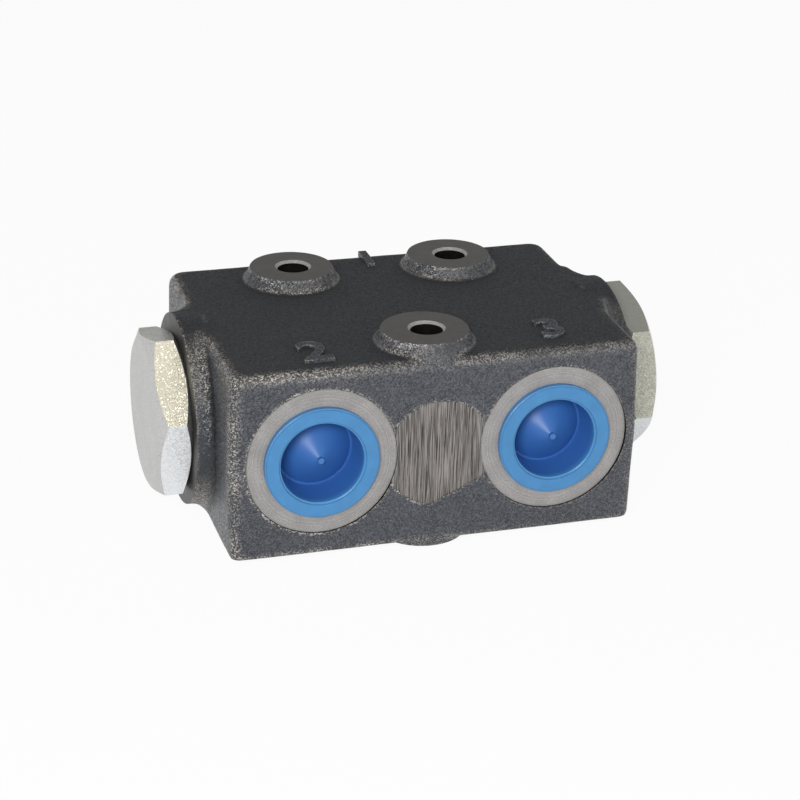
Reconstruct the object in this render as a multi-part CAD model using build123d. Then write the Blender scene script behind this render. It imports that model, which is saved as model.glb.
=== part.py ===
from build123d import *
import math
import os

# Spool-type hydraulic flow divider, in millimetres.
# One cast iron body holds two linked spools in a long bore. Oil comes in at the
# rear port, passes a sharp-edged orifice in each spool, and leaves in two equal
# shares by the front ports. Hex plugs close both ends of the bore.
# Frame: X along the bore, Y from the front face to the back, Z up.
# The origin is on the underside, below the middle of the bounding box.

# Cast body, measured at the parting plane, halfway up
body_length = 110.4
body_depth = 80.0
body_height = 51.3
cast_draft = 1.5            # degrees, away from the parting plane
front_corner_radius = 3.0   # the two upright corners at the front
rear_corner_radius = 5.0
top_rim_radius = 2.6
foot_rim_radius = 1.2       # the edge of the underside
casting_drop = 0.65         # the rough casting lies this far below the machined features
casting_shift = 0.5         # and this far to the left of them
facing_allowance = 2.0      # metal that is faced off the end bosses and the pads

# Mounting columns: three raised pads above and three below, drilled through
pad_span = 57.0             # between the upper and the lower machined pad faces
pad_radius = 11.7           # half way between the upper and lower facing depths
pad_flank = 23.0            # degrees from upright, of the cast side of each pad
pad_root = 3.4              # how far the flank runs down below the body's top
mount_hole_radius = 4.25    # clearance for an M8 screw
mount_hole_chamfer = 0.7
mount_pitch = 45.0          # between the two rear holes
front_hole_setback = 14.25  # from the front face at the parting plane
hole_row_spacing = 51.25    # from the front hole to the rear pair

# Bore for the spools, and the round bosses at its ends
bore_setback = 42.2         # bore axis behind the front face
bore_radius = 11.0
end_face_span = 120.0       # between the two machined end faces
end_boss_radius = 25.6
end_boss_flare = 4.0        # radius where an end boss meets the body's side
plug_thread_radius = 16.5   # M33 x 2
plug_thread_depth = 18.0
seal_recess_radius = 18.0
seal_recess_depth = 2.5

# Oil galleries round the bore
gallery_radius = 16.0
outlet_gallery_width = 12.0
inlet_gallery_width = 17.0
cut_over = 1.0              # how far each cutting shape starts outside the metal

# Ports: G 3/4, with a flat spotface for the sealing washer
port_pitch = 62.5           # between the two front ports
spotface_radius = 20.0
spotface_depth = 1.0
port_thread_radius = 12.06
port_thread_depth = 20.0
port_chamfer = 1.2
port_drill_radius = 9.0

# Patch between the front ports, ground flat by hand
ground_radius = 14.4
ground_depth = 0.35
ground_drop = 0.9           # its centre lies this far below the port axes
ground_cut_reach = 12.1     # the disc's lower right is left rough beyond this distance
ground_cut_turn = 65.0      # degrees from level, the way down to that rough part

# Hex plugs
hex_across_flats = 41.0
hex_height = 9.0
hex_face_radius = 19.4      # where the chamfers meet both faces
hex_chamfer_angle = 27.0
plug_shank_length = 16.0
plug_undercut_radius = 15.3
plug_undercut_width = 3.0
plug_lead = 1.5             # chamfer on the shank's end
plug_pocket_radius = 6.5
plug_pocket_depth = 9.0
thread_clearance = 0.05
left_hex_turn = 107.3       # degrees, first corner, from the rear towards the top
right_hex_turn = 135.2

# Spools
spool_clearance = 0.03
spool_inner_end = 5.0       # distance of the spool's inner end from mid-bore
spool_travel = 2.4          # of both spools together, each way
link_travel = 1.5           # of the right spool along the slot in the link, each way
spool_end_gap = 0.1         # left between a spool and its plug at the full travel of both
spool_bore_radius = 7.0
spool_inlet_bore_radius = 5.5
inlet_bore_start = 11.5
inlet_hole_offset = 0.5     # outboard of the middle of the inlet bore
orifice_seat = 20.0
waist_radius = 8.6
waist_end = 20.5
outlet_neck_radius = 9.3
outlet_neck_width = 9.0
metering_offset = 2.5       # the neck lies this far inboard of its gallery, whose edge meters the oil
inlet_hole_radius = 2.6
outlet_hole_radius = 3.0
holes_per_row = 4
balance_groove_depth = 0.4
balance_groove_width = 0.8
balance_groove_inset = 1.8  # from the edge of each land

# Link between the spools
link_thickness = 4.0
link_height = 6.6
link_end_wall = 1.7
link_pin_radius = 1.5
link_pin_setback = 2.2      # pin axis inside each spool's inner end
link_play = 0.1             # round the pins and beside the bar
link_slot_spare = 0.5       # left beyond the bar's end in a spool's slot
link_pin_inset = 0.5        # each end of a pin, inside the waist's surface

# Orifice disc and its retaining ring
disc_thickness = 2.5
disc_clearance = 0.05
orifice_radius = 2.2
orifice_edge = 0.6          # length of the sharp-edged hole
orifice_cone_radius = 4.6
ring_thickness = 1.0
ring_groove_depth = 0.6
ring_width = 1.8
ring_clearance = 0.05
ring_gap = 4.0

# Springs and shims
spring_wire_radius = 0.7
spring_outer_radius = 5.5
spring_turns = 6            # open turns, between one closed turn at each end
spring_seat_gap = 0.05
shim_thickness = 1.0
shim_clearance = 0.2
shim_inner_radius = 3.0

# Seals
seal_cord_clearance = 0.03

# Push-in port plugs, soft plastic
cap_clearance = 0.06
cap_flange_radius = 15.15
cap_flange_thickness = 1.7
cap_flange_round = 0.4
cap_lip_round = 0.6
cap_wall = 1.0
cap_taper = 0.8             # how much the cup narrows from its mouth to its floor
cap_depth = 9.6             # floor's outer edge, behind the front of the flange
cap_cone_tip = 2.2          # tip of the raised cone, behind the front of the flange
cap_cone_margin = 0.5       # flat ring between the cone and the wall
cap_floor_thickness = 1.2
cap_nub_radius = 0.8
cap_nub_height = 0.4

# Worked-out places
bore_height = pad_span / 2
front_y = -body_depth / 2
back_y = body_depth / 2
bore_y = front_y + bore_setback
front_hole_y = front_y + front_hole_setback
rear_hole_y = front_hole_y + hole_row_spacing
end_x = end_face_span / 2
outlet_x = port_pitch / 2
front_spot_y = front_y + spotface_depth
back_spot_y = back_y - spotface_depth
pad_rise = (pad_span - body_height) / 2
spool_radius = bore_radius - spool_clearance
neck_place = outlet_x - metering_offset
link_pin_place = spool_inner_end + link_pin_setback
ring_start = orifice_seat + disc_thickness
ring_groove_radius = spool_bore_radius + ring_groove_depth
link_slot_reach = link_travel + link_play + link_pin_radius
link_right_end = link_pin_place + link_slot_reach + link_end_wall
plug_shank_end = end_x - plug_shank_length
spool_outer_end = plug_shank_end - spool_travel - link_travel - spool_end_gap
pocket_end = plug_shank_end + plug_pocket_depth
shim_start = pocket_end - shim_thickness
mount_places = [(0, front_hole_y), (-mount_pitch / 2, rear_hole_y), (mount_pitch / 2, rear_hole_y)]


def turned(points, axis):
    """A ring or disc turned about an axis, from its half section in the XY plane."""
    return revolve(make_face(Polyline(points, close=True)), axis)


def along_x(solid, side):
    """Moves a piece made along +X from mid-bore to the bore axis, on the left for side -1."""
    if side < 0:
        solid = Rot(0, 0, 180) * solid
    return Pos(0, bore_y, bore_height) * solid


def cylinder_x(radius, start, end):
    """A cylinder along X from start to end, about the X axis."""
    return Pos((start + end) / 2, 0, 0) * Rot(0, 90, 0) * Cylinder(radius, abs(end - start))


def cylinder_y(radius, start, end):
    """A cylinder along Y from start to end, about the Y axis."""
    return Pos(0, (start + end) / 2, 0) * Rot(-90, 0, 0) * Cylinder(radius, abs(end - start))


def drafted_block(half_height):
    """The block with its rounded corners, tapered up and down from the parting plane."""
    outline = Rectangle(body_length, body_depth)
    corners = outline.vertices().sort_by(Axis.Y)
    outline = fillet(corners[:2], front_corner_radius)
    corners = outline.vertices().sort_by(Axis.Y)
    outline = fillet(corners[-2:], rear_corner_radius)
    upper = extrude(outline, half_height, taper=cast_draft)
    return upper + mirror(upper, Plane.XY)


def rough_block():
    """The drafted block with rounded rims."""
    block = drafted_block(body_height / 2)
    block = fillet(block.faces().sort_by(Axis.Z)[-1].edges(), top_rim_radius)
    return fillet(block.faces().sort_by(Axis.Z)[0].edges(), foot_rim_radius)


def end_boss(side):
    """A round boss whose flare into the body's side is cut flush with its top and underside."""
    side_x = body_length / 2 - (body_height / 2) * math.tan(math.radians(cast_draft))
    flare_x = side_x + end_boss_flare
    foot_radius = end_boss_radius + end_boss_flare
    rough_x = end_x + facing_allowance
    profile = make_face(
        Polyline((0, 0), (rough_x, 0), (rough_x, end_boss_radius), (flare_x, end_boss_radius))
        + RadiusArc((flare_x, end_boss_radius), (side_x, foot_radius), end_boss_flare)
        + Polyline((side_x, foot_radius), (0, foot_radius), (0, 0))
    )
    boss = revolve(profile, Axis.X) & Pos(0, 0, -casting_drop) * Box(2 * rough_x, 2 * body_depth, body_height)
    boss = boss + cylinder_x(end_boss_radius, side_x - top_rim_radius, rough_x)
    return along_x(boss, side)


def pads():
    """The six mounting pads, each a short cone that runs into the body, flush with its sides."""
    slope = math.tan(math.radians(pad_flank))
    root_radius = pad_radius + (pad_rise + pad_root) * slope
    rough_radius = pad_radius - facing_allowance * slope
    height = pad_rise + pad_root + facing_allowance
    upright = (Align.CENTER, Align.CENTER, Align.MIN)
    upper = Pos(0, 0, body_height / 2 - pad_root) * Cone(root_radius, rough_radius, height, align=upright)
    lower = Rot(180, 0, 0) * upper
    limit = drafted_block(pad_span / 2 + facing_allowance)
    shapes = []
    for x, y in mount_places:
        shapes.append(Pos(x, y, 0) * upper & limit)
        shapes.append(Pos(x, y, 0) * lower & limit)
    return shapes


def mount_hole(x, y):
    """A through hole with a small chamfer at each end."""
    hole = Cylinder(mount_hole_radius, pad_span + 2 * cut_over)
    reach = mount_hole_chamfer + cut_over
    upward = (Align.CENTER, Align.CENTER, Align.MIN)
    mouth = Cone(mount_hole_radius, mount_hole_radius + reach, reach, align=upward)
    top = Pos(0, 0, pad_span / 2 - mount_hole_chamfer) * mouth
    hole = hole + top + Rot(180, 0, 0) * top
    return Pos(x, y, pad_span / 2) * hole


def port_hole():
    """A spotface, a chamfered thread bore and a drilling, cut along +Y from the spotface at Y 0."""
    spotface = cylinder_y(spotface_radius, -spotface_depth - pad_rise - cut_over, 0)
    thread = cylinder_y(port_thread_radius, 0, port_thread_depth)
    chamfer_cut = Rot(-90, 0, 0) * Cone(
        port_thread_radius + port_chamfer, port_thread_radius, port_chamfer,
        align=(Align.CENTER, Align.CENTER, Align.MIN)
    )
    return spotface + thread + chamfer_cut


def ground_patch():
    """The shallow flat between the front ports, with its lower right left rough."""
    disc = cylinder_y(ground_radius, -cut_over, ground_depth)
    rough = Box(2 * ground_radius, 4 * cut_over, 4 * ground_radius)
    disc = disc - Rot(0, ground_cut_turn, 0) * Pos(ground_cut_reach + ground_radius, 0, 0) * rough
    return Pos(0, front_y, bore_height - ground_drop) * disc


def valve_body():
    """The casting with all its machining."""
    casting = rough_block()
    for pad in pads():
        casting = casting + pad
    casting = Pos(-casting_shift, 0, bore_height - casting_drop) * casting + end_boss(-1) + end_boss(1)
    faced = Box(end_face_span, 2 * body_depth, pad_span)
    casting = casting & Pos(0, 0, bore_height) * faced

    cuts = [mount_hole(x, y) for x, y in mount_places]
    bore = cylinder_x(bore_radius, -end_x, end_x)
    galleries = [(0, inlet_gallery_width)]
    for side in (-1, 1):
        galleries.append((side * outlet_x, outlet_gallery_width))
        bore = bore + cylinder_x(plug_thread_radius, side * end_x, side * (end_x - plug_thread_depth))
        bore = bore + cylinder_x(seal_recess_radius, side * end_x, side * (end_x - seal_recess_depth))
    for middle, width in galleries:
        bore = bore + cylinder_x(gallery_radius, middle - width / 2, middle + width / 2)
    cuts.append(Pos(0, bore_y, bore_height) * bore)
    for side in (-1, 1):
        cuts.append(Pos(side * outlet_x, front_spot_y, bore_height) * port_hole())
        drilling = cylinder_y(port_drill_radius, front_spot_y, bore_y)
        cuts.append(Pos(side * outlet_x, 0, bore_height) * drilling)
    cuts.append(Pos(0, back_spot_y, bore_height) * Rot(0, 0, 180) * port_hole())
    cuts.append(Pos(0, 0, bore_height) * cylinder_y(port_drill_radius, bore_y, back_spot_y))
    cuts.append(ground_patch())
    for cut in cuts:
        casting = casting - cut
    return casting


def hex_plug(side, turn):
    """A closing plug: chamfered hex head, undercut for the seal, shank and spring pocket."""
    corner_reach = hex_across_flats / 2 / math.cos(math.radians(30))
    prism = extrude(RegularPolygon(corner_reach, 6), hex_height)
    slope = math.tan(math.radians(hex_chamfer_angle))
    wide = corner_reach + cut_over
    drop = (wide - hex_face_radius) * slope
    barrel = revolve(
        make_face(Polyline(
            (0, 0), (hex_face_radius, 0), (wide, drop), (wide, hex_height - drop),
            (hex_face_radius, hex_height), (0, hex_height), close=True
        )), Axis.Y
    )
    head = prism & Rot(90, 0, 0) * barrel
    local_turn = turn if side > 0 else 180 - turn
    head = Pos(end_x, 0, 0) * Rot(0, 90, 0) * Rot(0, 0, local_turn + 90) * head
    shank_end = plug_shank_end
    shank_radius = plug_thread_radius - thread_clearance
    shank = turned(
        [
            (shank_end, 0), (end_x + hex_height / 2, 0), (end_x + hex_height / 2, plug_undercut_radius),
            (end_x - plug_undercut_width, plug_undercut_radius), (end_x - plug_undercut_width, shank_radius),
            (shank_end + plug_lead, shank_radius), (shank_end, shank_radius - plug_lead)
        ], Axis.X
    )
    pocket = cylinder_x(plug_pocket_radius, shank_end - cut_over, pocket_end)
    return along_x(head + shank - pocket, side)


def plug_seal(side):
    """An O-ring in the recess under a plug's head."""
    middle = (plug_undercut_radius + seal_recess_radius) / 2
    cord_radius = min(seal_recess_depth, seal_recess_radius - plug_undercut_radius) / 2 - seal_cord_clearance
    ring = Pos(end_x - seal_recess_depth / 2, 0, 0) * Rot(0, 90, 0) * Torus(middle, cord_radius)
    return along_x(ring, side)


def ring_of_holes(radius, place):
    """Radial drillings through the wall of a spool."""
    holes = []
    for k in range(holes_per_row):
        angle = 45 + 360 / holes_per_row * k
        hole = Cylinder(radius, spool_radius + cut_over, align=(Align.CENTER, Align.CENTER, Align.MIN))
        holes.append(Pos(place, 0, 0) * Rot(angle, 0, 0) * hole)
    return holes


def spool(side):
    """A hollow spool: slotted tongue end, waist with inlet holes, metering neck with outlet holes."""
    neck_start = neck_place - outlet_neck_width / 2
    neck_end = neck_place + outlet_neck_width / 2
    body = turned(
        [
            (spool_inner_end, 0), (spool_outer_end, 0), (spool_outer_end, spool_radius),
            (neck_end, spool_radius), (neck_end, outlet_neck_radius), (neck_start, outlet_neck_radius),
            (neck_start, spool_radius), (waist_end, spool_radius), (waist_end, waist_radius),
            (spool_inner_end, waist_radius)
        ], Axis.X
    )
    body = body - cylinder_x(spool_bore_radius, orifice_seat, spool_outer_end + cut_over)
    body = body - cylinder_x(spool_inlet_bore_radius, inlet_bore_start, orifice_seat + cut_over)
    body = body - cylinder_x(ring_groove_radius, ring_start, ring_start + ring_thickness)
    outer_groove = spool_outer_end - balance_groove_inset - balance_groove_width
    for place in (waist_end + balance_groove_inset, outer_groove):
        end = place + balance_groove_width
        core = cylinder_x(spool_radius - balance_groove_depth, place - cut_over, end + cut_over)
        body = body - (cylinder_x(spool_radius + cut_over, place, end) - core)
    inlet_place = (inlet_bore_start + orifice_seat) / 2 + inlet_hole_offset
    for hole in ring_of_holes(inlet_hole_radius, inlet_place) + ring_of_holes(outlet_hole_radius, neck_place):
        body = body - hole
    slot_end = link_right_end + link_travel + link_slot_spare
    slot = Pos(slot_end / 2, 0, 0) * Box(slot_end, link_thickness + 2 * link_play, 4 * spool_radius)
    body = body - slot
    pin_hole = Pos(link_pin_place, 0, 0) * Rot(90, 0, 0) * Cylinder(link_pin_radius, 4 * spool_radius)
    return along_x(body - pin_hole, side)


def orifice_disc(side):
    """A disc with a cone that leads to a short sharp-edged hole."""
    rim = spool_bore_radius - disc_clearance
    disc = turned(
        [
            (orifice_seat, orifice_cone_radius), (ring_start - orifice_edge, orifice_radius),
            (ring_start, orifice_radius), (ring_start, rim), (orifice_seat, rim)
        ], Axis.X
    )
    return along_x(disc, side)


def disc_ring(side):
    """An open snap ring in a groove of the spool, in front of the orifice disc."""
    outer = ring_groove_radius - ring_clearance
    ring_end = ring_start + ring_thickness
    ring = cylinder_x(outer, ring_start, ring_end)
    ring = ring - cylinder_x(outer - ring_width, ring_start - cut_over, ring_end + cut_over)
    gap = Pos(ring_start, 0, outer) * Box(4 * ring_thickness, ring_gap, 4 * ring_width)
    return along_x(ring - gap, side)


def spring(side):
    """A compression spring from the orifice disc to the shim: open turns between two closed ones."""
    wire = 2 * spring_wire_radius
    coil_radius = spring_outer_radius - spring_wire_radius
    first = ring_start + spring_seat_gap + spring_wire_radius
    last = shim_start - spring_seat_gap - spring_wire_radius
    open_height = last - first - 2 * wire
    open_pitch = open_height / spring_turns
    coil = None
    for start, height, pitch in (
        (first, wire, wire), (first + wire, open_height, open_pitch), (last - wire, wire, wire)
    ):
        path = Helix(pitch, height, coil_radius)
        section = Plane(path @ 0, z_dir=path % 0) * Circle(spring_wire_radius)
        turn = Pos(start, 0, 0) * Rot(0, 90, 0) * sweep(section, path=path, is_frenet=True)
        coil = turn if coil is None else coil + turn
    return along_x(coil, side)


def spring_shim(side):
    """The washer at the bottom of a plug's pocket that sets the spring's load."""
    shim = cylinder_x(plug_pocket_radius - shim_clearance, shim_start, pocket_end)
    return along_x(shim - cylinder_x(shim_inner_radius, shim_start - cut_over, pocket_end + cut_over), side)


def spool_link():
    """A flat bar that joins the spools: a round hole on the left, a slot with play on the right."""
    left_end = link_pin_place + link_pin_radius + link_end_wall
    middle = (link_right_end - left_end) / 2
    outline = Pos(middle, 0, 0) * SlotOverall(left_end + link_right_end, link_height)
    hole = Pos(-link_pin_place, 0, 0) * Circle(link_pin_radius + link_play)
    slot = Pos(link_pin_place, 0, 0) * SlotOverall(2 * link_slot_reach, 2 * (link_pin_radius + link_play))
    bar = extrude(outline - hole - slot, link_thickness / 2, both=True)
    return Pos(0, bore_y, bore_height) * Rot(90, 0, 0) * bar


def link_pin(side):
    """A cross pin through a spool's slotted end."""
    pin = Cylinder(link_pin_radius, 2 * (waist_radius - link_pin_inset))
    return along_x(Pos(link_pin_place, 0, 0) * Rot(90, 0, 0) * pin, side)


def port_plug():
    """A thin push-in plug: flange, tapered cup, and a floor that rises to a cone with a small nub."""
    front = -cap_flange_thickness
    outer = port_thread_radius - cap_clearance
    mouth = outer - cap_wall
    floor = mouth - cap_taper
    floor_y = front + cap_depth
    tip_y = front + cap_cone_tip
    under_y = floor_y + cap_floor_thickness
    nub_y = tip_y - cap_nub_height
    cone_radius = floor - cap_cone_margin
    slope = (floor_y - tip_y) / cone_radius
    edge = cap_flange_radius - cap_flange_round
    profile = make_face(
        Polyline(
            (0, nub_y), (cap_nub_radius, nub_y), (cap_nub_radius, tip_y + slope * cap_nub_radius),
            (cone_radius, floor_y), (floor, floor_y), (mouth, front + cap_lip_round)
        )
        + RadiusArc((mouth, front + cap_lip_round), (mouth + cap_lip_round, front), cap_lip_round)
        + Line((mouth + cap_lip_round, front), (edge, front))
        + RadiusArc((edge, front), (cap_flange_radius, front + cap_flange_round), cap_flange_round)
        + Polyline(
            (cap_flange_radius, front + cap_flange_round), (cap_flange_radius, 0), (outer, 0),
            (outer - cap_taper, under_y), (cone_radius, under_y), (0, tip_y + cap_floor_thickness), (0, nub_y)
        )
    )
    return revolve(profile, Axis.Y)


def front_port_plug(side):
    """The plug in one of the two outlet ports."""
    return Pos(side * outlet_x, front_spot_y, bore_height) * port_plug()


def rear_port_plug():
    """The plug in the inlet port."""
    return Pos(0, back_spot_y, bore_height) * Rot(0, 0, 180) * port_plug()


def all_parts():
    """Every piece by the name of its node."""
    parts = {"valve_body": valve_body(), "spool_link": spool_link(), "rear_port_plug": rear_port_plug()}
    for name, side, turn in (("left", -1, left_hex_turn), ("right", 1, right_hex_turn)):
        parts[name + "_hex_plug"] = hex_plug(side, turn)
        parts[name + "_plug_seal"] = plug_seal(side)
        parts[name + "_spool"] = spool(side)
        parts[name + "_orifice_disc"] = orifice_disc(side)
        parts[name + "_disc_ring"] = disc_ring(side)
        parts[name + "_spring"] = spring(side)
        parts[name + "_spring_shim"] = spring_shim(side)
        parts[name + "_link_pin"] = link_pin(side)
        parts[name + "_port_plug"] = front_port_plug(side)
    return parts


if __name__ == "__main__":
    os.makedirs("parts", exist_ok=True)
    for node, solid in all_parts().items():
        export_step(solid, "parts/" + node + ".step")
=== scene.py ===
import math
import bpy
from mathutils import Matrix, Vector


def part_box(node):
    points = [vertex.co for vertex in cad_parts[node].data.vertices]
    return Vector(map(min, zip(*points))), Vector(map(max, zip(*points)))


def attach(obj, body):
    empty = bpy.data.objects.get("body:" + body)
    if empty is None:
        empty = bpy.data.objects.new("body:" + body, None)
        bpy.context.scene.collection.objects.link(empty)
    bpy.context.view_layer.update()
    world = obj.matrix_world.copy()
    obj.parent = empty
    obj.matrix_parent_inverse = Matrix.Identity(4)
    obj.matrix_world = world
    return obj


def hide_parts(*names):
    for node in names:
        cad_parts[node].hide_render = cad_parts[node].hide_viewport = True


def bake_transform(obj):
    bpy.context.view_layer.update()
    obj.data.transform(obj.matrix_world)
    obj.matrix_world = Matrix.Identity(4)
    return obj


bl_info = {
    "name": "Flow Divider Finish",
    "version": (1, 0, 0),
    "blender": (4, 5, 0),
    "location": "View3D > Sidebar > Flow Divider",
    "description": "Finishes a hydraulic flow divider: cast skin, machined faces, zinc plugs and port plugs",
    "category": "Object",
}

import bmesh
import bpy
from bpy.props import FloatProperty, FloatVectorProperty, IntProperty, PointerProperty
from mathutils import Matrix, Vector, noise

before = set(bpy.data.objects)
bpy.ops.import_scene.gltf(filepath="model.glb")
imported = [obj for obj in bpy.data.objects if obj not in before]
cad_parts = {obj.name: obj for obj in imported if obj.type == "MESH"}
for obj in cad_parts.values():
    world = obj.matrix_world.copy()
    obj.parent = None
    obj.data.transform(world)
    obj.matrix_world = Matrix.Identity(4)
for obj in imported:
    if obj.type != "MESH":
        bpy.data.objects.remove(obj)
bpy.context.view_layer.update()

MM = 0.001
SMALL = 0.05 * MM
SIDES = ("left", "right")
BODY_LOW, BODY_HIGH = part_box("valve_body")

# Steps in a quarter turn of the casting's corners, and of its rims
CORNER_STEPS = 8
RIM_STEPS = 6

# Widths of the cast skin's slow and quick unevenness, and the quick one's share of the height
WAVE_SIZE = 11 * MM
RIPPLE_SIZE = 2.6 * MM
RIPPLE_SHARE = 0.3

# Pitch of the turning marks on the spotfaces and on the end bosses
SPOT_PITCH = 0.25 * MM
END_PITCH = 0.3 * MM

# Share of the light grains that is left on skin that faces straight up: painted shade that darkens the
# body's top, while the numerals keep all of theirs as a painted highlight that makes them stand out
BODY_PAINTED_TOP_SHADE = 0.1
NUMERAL_PAINTED_TOP_SHADE = 1.0

# Sharpest angles in degrees that are still shaded smooth
BODY_SMOOTH = 38
NUMERAL_SMOOTH = 60

# Text, x and y of the middle and letter size of each numeral, in millimetres
NUMERALS = (("1", 1.1, 34.0, 14), ("2", -30.4, -28.2, 16.5), ("3", 33.6, -27.0, 15.5))
NUMERAL_HEIGHT = 0.9 * MM
NUMERAL_WEIGHT = 0.45 * MM
NUMERAL_VOXEL = 0.16 * MM
NUMERAL_SOFTENING = 4

# Each lamp's name, azimuth and elevation in degrees, and its distance and size in metres
LAMPS = (("key", -28, 27, 1.0, 0.3), ("fill", 22, 10, 1.1, 0.7))
FLOOR_REACH = 3.0
FLOOR_TINT = (0.9, 0.9, 0.9)
FLOOR_GLOW = 0.94

# The casting's finishes, in the order of its materials; a face that no cutter made keeps the first
CAST, MILLED, TURNED, SPOT_FRONT, SPOT_REAR, GROUND, BORED = range(7)


def middle(node):
    """The middle of a CAD node's box."""
    low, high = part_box(node)
    return (low + high) / 2


BORE_AXIS = middle("left_spool")
PORT_PITCH = middle("right_port_plug").x - middle("left_port_plug").x
PORT_HEIGHT = middle("left_port_plug").z


def length(name, description, millimetres):
    """A size that the user can change, given in millimetres."""
    return FloatProperty(
        name=name, description=description, default=millimetres * MM, min=0.0, unit="LENGTH", precision=5
    )


def angle(name, description, degrees):
    """An angle that the user can change, given in degrees."""
    return FloatProperty(name=name, description=description, default=math.radians(degrees), subtype="ANGLE")


def colour(name, description, value):
    """A colour that the user can change."""
    return FloatVectorProperty(
        name=name, description=description, default=value, size=3, min=0.0, max=1.0, subtype="COLOR"
    )


class CastingSizes(bpy.types.PropertyGroup):
    """The rough casting before machining."""

    block_length: length("Block length", "Casting's length at the parting plane", 110.4)
    block_height: length("Block height", "From the underside to the top", 51.3)
    drop: length("Drop", "How far the casting lies below the machined features", 0.65)
    shift: length("Shift", "How far the casting lies to the left of them", 0.5)
    front_corner: length("Front corners", "Radius of the upright corners at the front", 3.0)
    rear_corner: length("Rear corners", "Radius of the upright corners at the back", 5.0)
    top_rim: length("Top rim", "Radius of the edge round the top", 2.6)
    foot_rim: length("Foot rim", "Radius of the edge round the underside", 1.2)
    draft: angle("Draft", "Slope of the sides", 1.5)
    pad_radius: length("Pad radius", "Radius of a mounting pad at its nominal height", 11.7)
    pad_root: length("Pad root", "How far a pad's flank runs below the surface", 3.4)
    pad_flank: angle("Pad flank", "Slope of a pad's cast side", 23.0)
    boss_radius: length("Boss radius", "Radius of the round end bosses", 25.6)
    boss_flare: length("Boss flare", "Radius where a boss meets the body", 4.0)
    allowance: length("Allowance", "Metal on the pads and bosses that is faced off", 2.0)
    voxel: length("Voxel", "Cell size of the casting's skin", 0.7)
    softening: IntProperty(
        name="Softening", description="Smoothing passes that round the cast edges", default=9, min=0
    )
    waviness: length("Waviness", "Height of the slow unevenness of the skin", 0.09)


class MachiningSizes(bpy.types.PropertyGroup):
    """What is cut into the casting."""

    spotface_radius: length("Spotface radius", "Radius of the flat round a port", 20.0)
    spotface_depth: length("Spotface depth", "Depth of the flat round a port", 1.0)
    port_radius: length("Port radius", "Radius of a port's thread", 12.06)
    port_depth: length("Port depth", "Depth of a port's thread", 20.0)
    port_chamfer: length("Port chamfer", "Chamfer at a port's mouth", 1.2)
    drill_radius: length("Drill radius", "Radius of the drilling from a port to the bore", 9.0)
    screw_hole_radius: length("Screw hole radius", "Radius of the mounting holes", 4.25)
    screw_hole_chamfer: length("Screw hole chamfer", "Chamfer of the mounting holes", 0.7)
    screw_pitch: length("Screw pitch", "Distance between the two rear mounting holes", 45.0)
    front_setback: length("Front setback", "From the front face to the front mounting hole", 14.25)
    row_spacing: length("Row spacing", "From the front mounting hole to the rear pair", 51.25)
    bore_radius: length("Bore radius", "Radius of the spool bore", 11.0)
    thread_radius: length("Plug thread radius", "Radius of the end plugs' thread", 16.5)
    thread_depth: length("Plug thread depth", "Depth of the end plugs' thread", 18.0)
    recess_radius: length("Seal recess radius", "Radius of the recess for the end seal", 18.0)
    recess_depth: length("Seal recess depth", "Depth of the recess for the end seal", 2.5)
    patch_radius: length("Ground patch radius", "Radius of the ground patch between the ports", 14.4)
    patch_depth: length("Ground patch depth", "Depth of the ground patch", 0.55)
    patch_drop: length("Ground patch drop", "Its middle below the ports' middle", 0.9)
    patch_reach: length("Ground patch reach", "From its middle to its straight side", 12.1)
    patch_turn: angle("Ground patch turn", "Direction of its straight side, down from level", 65.0)


class FinishColours(bpy.types.PropertyGroup):
    """Colours of the finishes."""

    cast_dark: colour("Casting, dark", "Dark grains of the cast skin", (0.013, 0.0155, 0.020))
    cast_light: colour("Casting, light", "Light grains of the cast skin", (0.100, 0.107, 0.125))
    # The brown and the bright casting colours paint highlights on slopes and edges; the bright one also
    # colours the upright scratches
    cast_brown_highlight: colour("Casting, brown", "Brown tinge on the casting's edges", (0.085, 0.066, 0.045))
    cast_bright_scratch_and_highlight: colour("Casting, bright", "Bare bright grains on the casting's edges", (0.52, 0.50, 0.47))
    cut_iron: colour("Cut iron", "Turned spotfaces", (0.335, 0.322, 0.312))
    milled_iron: colour("Milled iron", "Milled pad faces", (0.052, 0.050, 0.047))
    ground_dark: colour("Ground iron, dark", "Grooves of the ground patch", (0.020, 0.018, 0.017))
    ground_light: colour("Ground iron, light", "Crests of the ground patch", (0.25, 0.23, 0.215))
    zinc: colour("Zinc", "Zinc plating of the end plugs", (0.54, 0.535, 0.53))
    # The warm, olive and pale zinc tints are painted reflections, and the dull one is painted shade, each
    # picked by the way a flat faces
    zinc_warm_reflection: colour("Zinc, warm", "Creamy flats that lean up", (0.66, 0.62, 0.49))
    zinc_olive_reflection: colour("Zinc, olive", "Olive tinge of the flats near upright", (0.34, 0.335, 0.28))
    zinc_dull_shade: colour("Zinc, dull", "Dull flats that face up", (0.22, 0.222, 0.19))
    zinc_pale_reflection: colour("Zinc, pale", "Bluish clean flats that face down", (0.80, 0.82, 0.84))
    plastic: colour("Port plug", "Blue plastic of the port plugs", (0.054, 0.205, 0.425))
    # Painted shade: the deep blue stands for the shade inside the port plugs' cups
    plastic_deep_shade: colour("Port plug, deep", "The plastic below the flange", (0.030, 0.118, 0.36))
    rubber: colour("Seal", "Rubber of the end seals", (0.012, 0.012, 0.013))
    steel: colour("Steel", "Hardened steel of the spools", (0.46, 0.47, 0.48))
    spring: colour("Spring steel", "Oiled spring wire", (0.20, 0.20, 0.21))


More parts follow.
